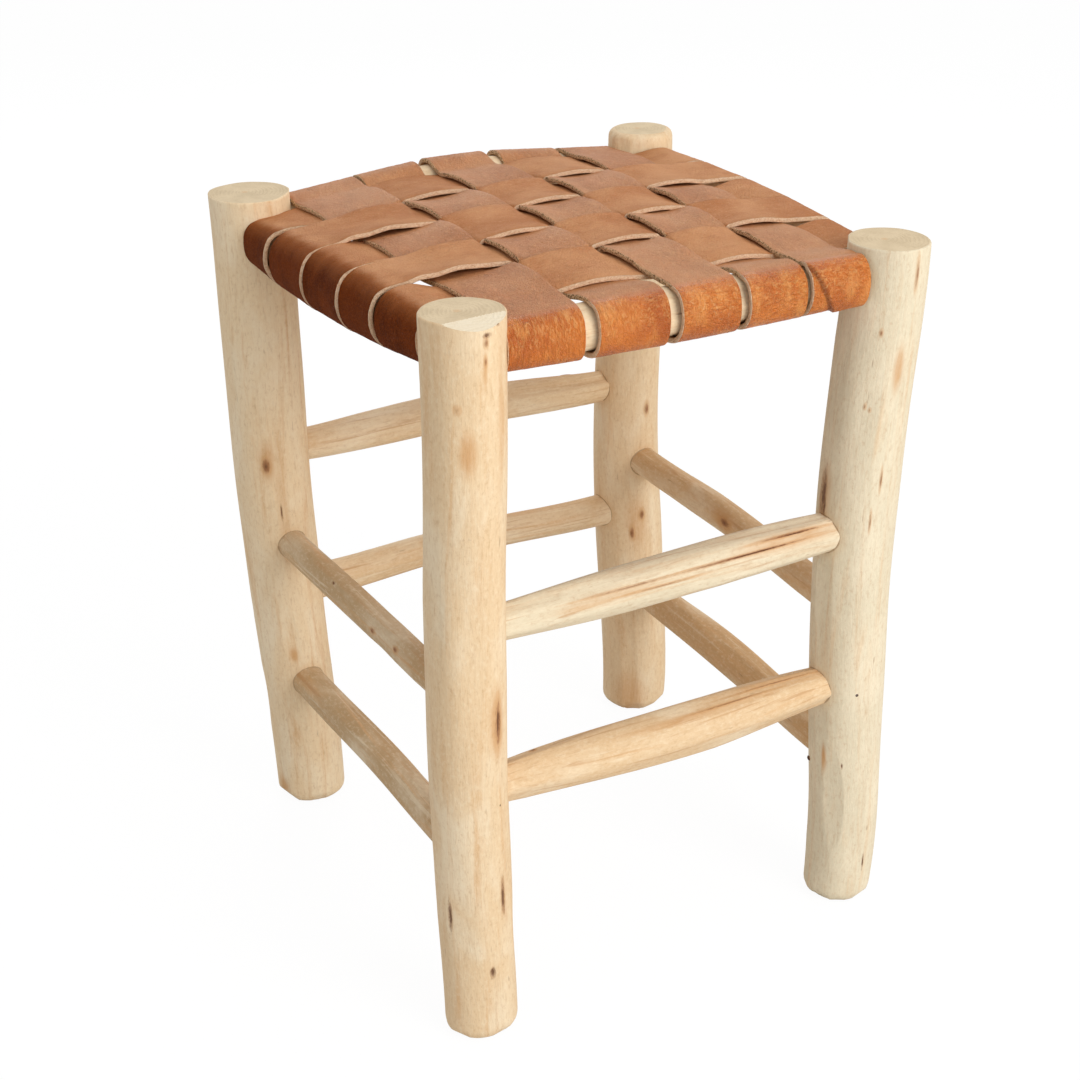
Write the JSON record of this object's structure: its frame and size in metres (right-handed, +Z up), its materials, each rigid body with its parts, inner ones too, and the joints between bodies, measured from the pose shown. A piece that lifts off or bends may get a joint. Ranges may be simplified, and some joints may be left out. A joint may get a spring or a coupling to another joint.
{
  "type": "leather stool",
  "caption": "Square backless stool: round debarked-pole legs, rungs on two levels each side, and a seat of flat leather straps woven over and under and tacked round the seat rails.",
  "frame": {"origin": "on the floor under the middle of the stool's overall box", "axes": "+Z up, the front faces -Y, +X to the right of someone facing the front"},
  "size_m": [0.3325, 0.3278, 0.4535],
  "materials": {
    "pale_wood": "bare, hand-shaved, matt",
    "tan_leather": "waxed grain side, raw cut edges",
    "tack_steel": "blued, slightly worn",
    "nail_steel": "dull"
  },
  "bodies": {
    "root": {"leg_front_left": "pale_wood", "leg_front_right": "pale_wood", "leg_back_left": "pale_wood", "leg_back_right": "pale_wood", "rung_front_upper": "pale_wood", "rung_front_lower": "pale_wood", "rung_left_upper": "pale_wood", "rung_left_lower": "pale_wood", "rung_back_upper": "pale_wood", "rung_back_lower": "pale_wood", "rung_right_upper": "pale_wood", "rung_right_lower": "pale_wood", "seat_rail_front": "pale_wood", "seat_rail_left": "pale_wood", "seat_rail_back": "pale_wood", "seat_rail_right": "pale_wood", "strap_side_1": "tan_leather", "strap_side_2": "tan_leather", "strap_side_3": "tan_leather", "strap_side_4": "tan_leather", "strap_side_5": "tan_leather", "strap_long_1": "tan_leather", "strap_long_2": "tan_leather", "strap_long_3": "tan_leather", "strap_long_4": "tan_leather", "strap_long_5": "tan_leather", "tacks_front": "tack_steel", "tacks_left": "tack_steel", "tacks_back": "tack_steel", "tacks_right": "tack_steel", "joint_nails": "nail_steel"}
  },
  "joints": []
}
